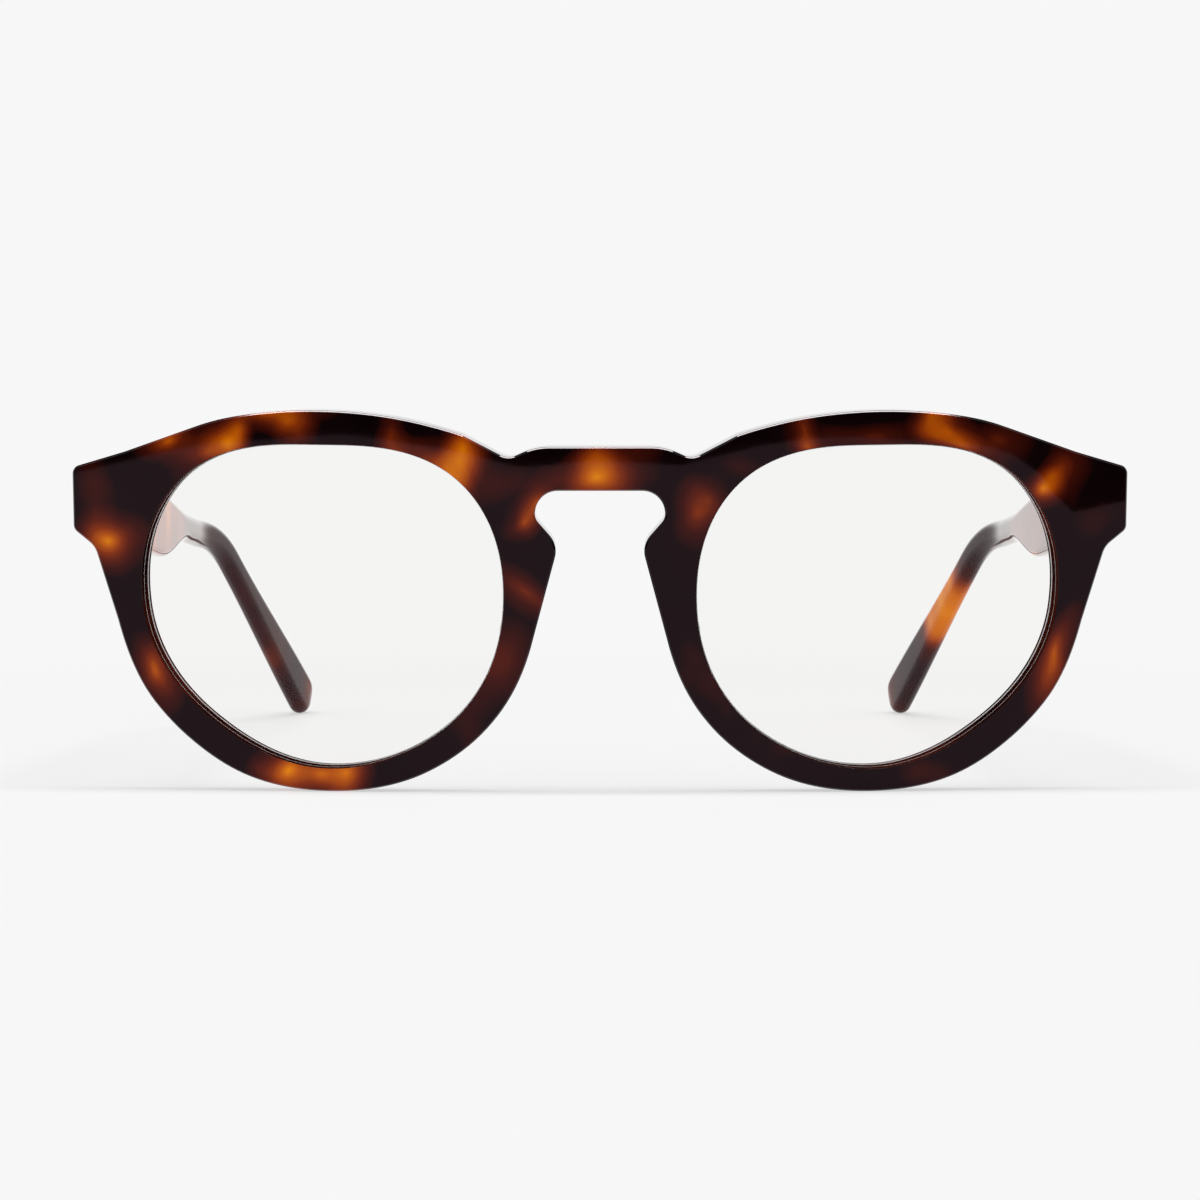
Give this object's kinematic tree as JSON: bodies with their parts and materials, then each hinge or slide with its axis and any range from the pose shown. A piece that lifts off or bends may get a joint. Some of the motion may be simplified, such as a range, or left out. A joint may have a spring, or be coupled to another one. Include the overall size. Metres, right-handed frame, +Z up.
{
  "type": "eyeglasses",
  "caption": "Round keyhole-bridge eyeglasses in dark tortoiseshell acetate, clear lenses, folding temples on barrel hinges, standing open.",
  "frame": {"origin": "middle of the bounding box on the table, the open glasses standing on the two rims and the two temple tips", "axes": "+Z up from the table, -Y the way the wearer faces so the temples run towards +Y, +X the wearer's left"},
  "size_m": [0.141, 0.1502, 0.0512],
  "materials": {
    "acetate": "polished dark tortoiseshell acetate",
    "pad_acetate": "polished tortoiseshell acetate",
    "lens": "clear, coated",
    "hinge_metal": "nickel-plated, satin",
    "screw_metal": "bright",
    "core_metal": "plain"
  },
  "bodies": {
    "front": {"front": "acetate", "nose_pad_left": "pad_acetate", "nose_pad_right": "pad_acetate", "lens_left": "lens", "lens_right": "lens", "front_hinge_left": "hinge_metal", "front_hinge_right": "hinge_metal", "hinge_screw_left": "screw_metal", "hinge_screw_right": "screw_metal"},
    "temple_left": {"temple_left": "acetate", "temple_hinge_left": "hinge_metal", "core_wire_left": "core_metal"},
    "temple_right": {"temple_right": "acetate", "temple_hinge_right": "hinge_metal", "core_wire_right": "core_metal"}
  },
  "joints": [
    {"name": "left_temple_fold", "type": "hinge", "parent": "front", "child": "temple_left", "pos_m": [0.06415, -0.06411, 0.03958], "axis": [0, 0.0851, 0.9964], "range_deg": [0, 84.8]},
    {"name": "right_temple_fold", "type": "hinge", "parent": "front", "child": "temple_right", "pos_m": [-0.06415, -0.06411, 0.03958], "axis": [0, -0.0851, -0.9964], "range_deg": [0, 73.5]}
  ]
}
